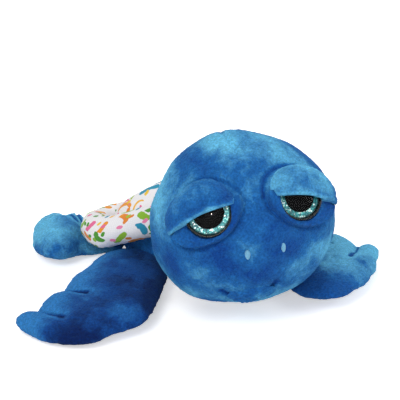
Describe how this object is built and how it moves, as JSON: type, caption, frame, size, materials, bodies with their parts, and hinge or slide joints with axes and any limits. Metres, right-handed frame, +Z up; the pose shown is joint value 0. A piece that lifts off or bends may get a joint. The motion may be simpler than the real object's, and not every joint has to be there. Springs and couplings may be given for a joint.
{
  "type": "plush turtle",
  "caption": "Drowsy plush sea turtle lying on its belly, with padded shell, round head under heavy eyelids, safety eyes and flippers that flex at their roots.",
  "frame": {"origin": "the middle of the belly's flat underside, on the ground", "axes": "+Z up, the head points along -Y, the turtle's left side is +X"},
  "size_m": [0.2069, 0.177, 0.0988],
  "materials": {
    "blue_plush": "short pile plush, mottled light and dark",
    "printed_cloth": "short pile, printed with loose coloured strokes",
    "fibre": "white polyester",
    "pellets": "small translucent pellets",
    "black_plastic": "moulded gloss black",
    "teal_glitter": "teal glitter film",
    "clear_plastic": "clear polished dome",
    "stitching": "pale blue satin stitch"
  },
  "bodies": {
    "torso": {"belly_cover": "blue_plush", "shell_cover": "printed_cloth", "shell_rim": "printed_cloth", "body_stuffing": "fibre", "pellet_bag": "fibre", "pellets": "pellets", "neck_sleeve": "blue_plush"},
    "neck": {"neck": "blue_plush"},
    "head": {"head_cover": "blue_plush", "head_stuffing": "fibre", "chin_pad": "blue_plush", "eyelid_right": "blue_plush", "eye_patch_right": "blue_plush", "eye_cup_right": "black_plastic", "eye_iris_right": "teal_glitter", "eye_pupil_right": "black_plastic", "eye_lens_right": "clear_plastic", "eye_washer_right": "black_plastic", "nostril_right": "stitching", "eyelid_left": "blue_plush", "eye_patch_left": "blue_plush", "eye_cup_left": "black_plastic", "eye_iris_left": "teal_glitter", "eye_pupil_left": "black_plastic", "eye_lens_left": "clear_plastic", "eye_washer_left": "black_plastic", "nostril_left": "stitching"},
    "front_right": {"front_flipper_right": "blue_plush", "front_stuffing_right": "fibre"},
    "front_left": {"front_flipper_left": "blue_plush", "front_stuffing_left": "fibre"},
    "rear_right": {"rear_flipper_right": "blue_plush", "rear_stuffing_right": "fibre"},
    "rear_left": {"rear_flipper_left": "blue_plush", "rear_stuffing_left": "fibre"}
  },
  "joints": [
    {"name": "neck_turn", "type": "hinge", "parent": "torso", "child": "neck", "pos_m": [0.004, -0.0485, 0.033], "axis": [0, 0, 1], "range_deg": [-12, 10], "stiffness_Nm_per_rad": 0.3},
    {"name": "neck_nod", "type": "hinge", "parent": "neck", "child": "head", "pos_m": [0.004, -0.0485, 0.033], "axis": [1, 0, 0], "range_deg": [-12, 2], "stiffness_Nm_per_rad": 0.6},
    {"name": "front_flap_right", "type": "hinge", "parent": "torso", "child": "front_right", "pos_m": [-0.033, -0.021, 0.0079], "axis": [-0.4848, 0.8746, 0], "range_deg": [-40, 3], "stiffness_Nm_per_rad": 0.15},
    {"name": "front_flap_left", "type": "hinge", "parent": "torso", "child": "front_left", "pos_m": [0.033, -0.021, 0.0079], "axis": [-0.5299, -0.848, 0], "range_deg": [-40, 2], "stiffness_Nm_per_rad": 0.15},
    {"name": "rear_flap_right", "type": "hinge", "parent": "torso", "child": "rear_right", "pos_m": [-0.0305, 0.0205, 0.0032], "axis": [0.4226, 0.9063, 0], "range_deg": [-40, 0], "stiffness_Nm_per_rad": 0.05},
    {"name": "rear_flap_left", "type": "hinge", "parent": "torso", "child": "rear_left", "pos_m": [0.0305, 0.0205, 0.0032], "axis": [0.4226, -0.9063, 0], "range_deg": [-40, 0], "stiffness_Nm_per_rad": 0.05}
  ]
}
